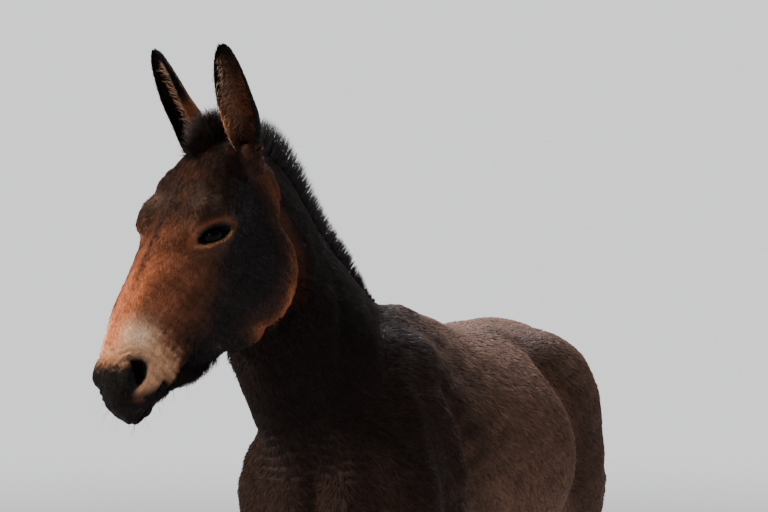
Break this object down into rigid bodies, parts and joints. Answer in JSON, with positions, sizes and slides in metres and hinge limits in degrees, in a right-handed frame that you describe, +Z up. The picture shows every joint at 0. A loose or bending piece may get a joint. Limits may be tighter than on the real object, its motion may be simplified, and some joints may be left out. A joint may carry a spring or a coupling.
{
  "type": "live mule",
  "caption": "Mule standing square with its neck and head turned a little to its right, long ears pricked.",
  "frame": {"origin": "on the floor under the middle of the animal's bounding box", "axes": "+Z up, the mule faces -Y and its left side is towards +X"},
  "size_m": [0.5908, 2.0664, 1.9259],
  "materials": {
    "coat_head": "short brown coat",
    "coat_neck": "short near-black coat",
    "coat_torso": "short dark brown coat",
    "coat_leg": "short near-black coat",
    "coat_ear": "short red-brown coat with pale inner hair",
    "hair_tail": "coarse black hair",
    "horn_hoof": "dull dark horn",
    "eye_surface": "wet glossy dark eye"
  },
  "bodies": {
    "root": {"head": "coat_head", "neck": "coat_neck", "torso": "coat_torso", "tail": "hair_tail", "foreleg_left": "coat_leg", "foreleg_right": "coat_leg", "hindleg_left": "coat_leg", "hindleg_right": "coat_leg", "hoof_fore_left": "horn_hoof", "hoof_fore_right": "horn_hoof", "hoof_hind_left": "horn_hoof", "hoof_hind_right": "horn_hoof", "ear_left": "coat_ear", "ear_right": "coat_ear", "eye_left": "eye_surface", "eye_right": "eye_surface"}
  },
  "joints": []
}
